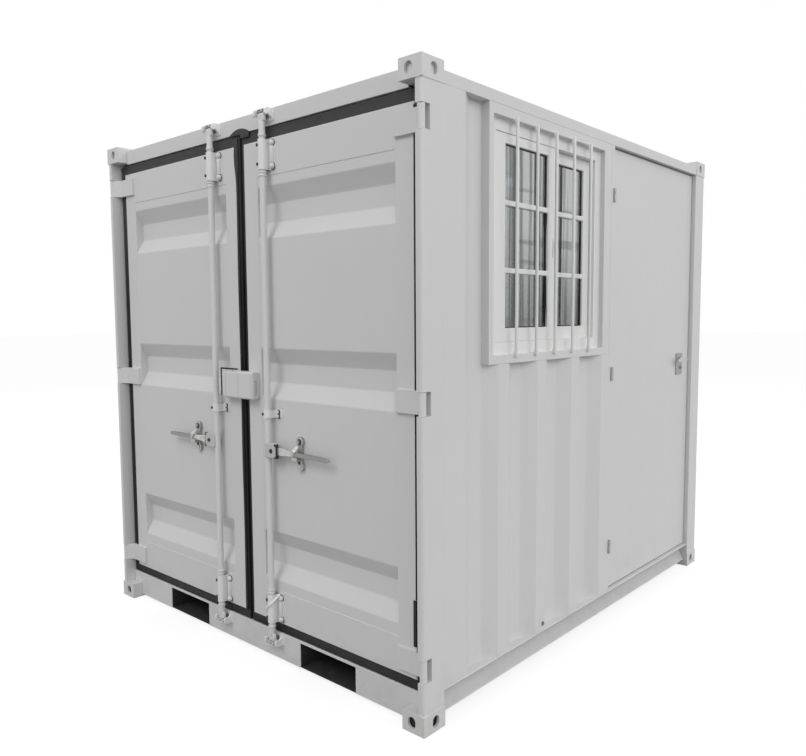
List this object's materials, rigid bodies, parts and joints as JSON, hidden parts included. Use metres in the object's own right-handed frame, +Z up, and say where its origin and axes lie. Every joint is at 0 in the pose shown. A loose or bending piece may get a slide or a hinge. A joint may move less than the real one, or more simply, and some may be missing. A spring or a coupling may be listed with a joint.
{
  "type": "container cabin",
  "caption": "Small steel container cabin with a pair of cargo doors on one end, a barred sliding window and a personnel door in one side, corner castings and fork pockets.",
  "frame": {"origin": "middle of the footprint at the underside of the corner castings", "axes": "+Z up, the cargo doors face -Y, the side with the window and the personnel door faces +X"},
  "size_m": [2.057, 2.438, 2.26],
  "materials": {
    "painted_steel": "satin",
    "underframe_paint": "matte",
    "zinc_steel": "satin",
    "bar_paint": "satin",
    "window_plastic": "gloss",
    "window_glass": "clear",
    "gasket_rubber": "matte",
    "plywood": "varnished"
  },
  "bodies": {
    "cabin": {"front_bottom_castings": "painted_steel", "rear_bottom_castings": "painted_steel", "top_castings": "painted_steel", "front_posts": "painted_steel", "rear_posts": "painted_steel", "door_header": "painted_steel", "door_sill": "painted_steel", "rear_rails": "painted_steel", "top_side_rails": "painted_steel", "bottom_side_rails": "painted_steel", "roof_panel": "painted_steel", "left_wall": "painted_steel", "rear_wall": "painted_steel", "right_wall_front": "painted_steel", "right_wall_below_window": "painted_steel", "window_surround": "painted_steel", "rod_keepers": "painted_steel", "side_door_frame": "painted_steel", "fork_tunnels": "underframe_paint", "floor_cross_members": "underframe_paint", "security_bars": "bar_paint", "window_frame": "window_plastic", "window_sashes": "window_plastic", "window_glass": "window_glass", "floor_board": "plywood"},
    "right_leaf": {"right_leaf_frame": "painted_steel", "right_leaf_panel": "painted_steel", "right_leaf_gasket": "gasket_rubber", "right_leaf_hinges": "painted_steel", "right_rod_guides": "painted_steel", "right_lock_box": "painted_steel", "right_handle_catch": "zinc_steel"},
    "left_leaf": {"left_leaf_frame": "painted_steel", "left_leaf_panel": "painted_steel", "left_leaf_gasket": "gasket_rubber", "left_leaf_hinges": "painted_steel", "left_rod_guides": "painted_steel", "left_lock_box": "painted_steel", "left_handle_catch": "zinc_steel"},
    "right_rod": {"right_lock_rod": "painted_steel", "right_rod_handle": "zinc_steel"},
    "left_rod": {"left_lock_rod": "painted_steel", "left_rod_handle": "zinc_steel"},
    "side_door": {"side_door_leaf": "painted_steel", "side_door_lock_plate": "zinc_steel"},
    "side_lever": {"side_door_lever": "zinc_steel"}
  },
  "joints": [
    {"name": "right_leaf_hinge", "type": "hinge", "parent": "cabin", "child": "right_leaf", "pos_m": [1.005, -1.203, 1.1], "axis": [0, 0, 1], "range_deg": [0, 240]},
    {"name": "left_leaf_hinge", "type": "hinge", "parent": "cabin", "child": "left_leaf", "pos_m": [-1.005, -1.203, 1.1], "axis": [0, 0, -1], "range_deg": [0, 240]},
    {"name": "right_rod_turn", "type": "hinge", "parent": "right_leaf", "child": "right_rod", "pos_m": [0.178, -1.195, 1.1], "axis": [0, 0, -1], "range_deg": [0, 105]},
    {"name": "left_rod_turn", "type": "hinge", "parent": "left_leaf", "child": "left_rod", "pos_m": [-0.178, -1.195, 1.1], "axis": [0, 0, 1], "range_deg": [0, 105]},
    {"name": "side_door_hinge", "type": "hinge", "parent": "cabin", "child": "side_door", "pos_m": [1.006, 0.14, 1.1], "axis": [0, 0, -1], "range_deg": [0, 120]},
    {"name": "side_lever_turn", "type": "hinge", "parent": "side_door", "child": "side_lever", "pos_m": [0.996, 0.99, 1.184], "axis": [1, 0, 0], "range_deg": [0, 40], "stiffness_Nm_per_rad": 1.5, "springref_deg": -28.65}
  ]
}
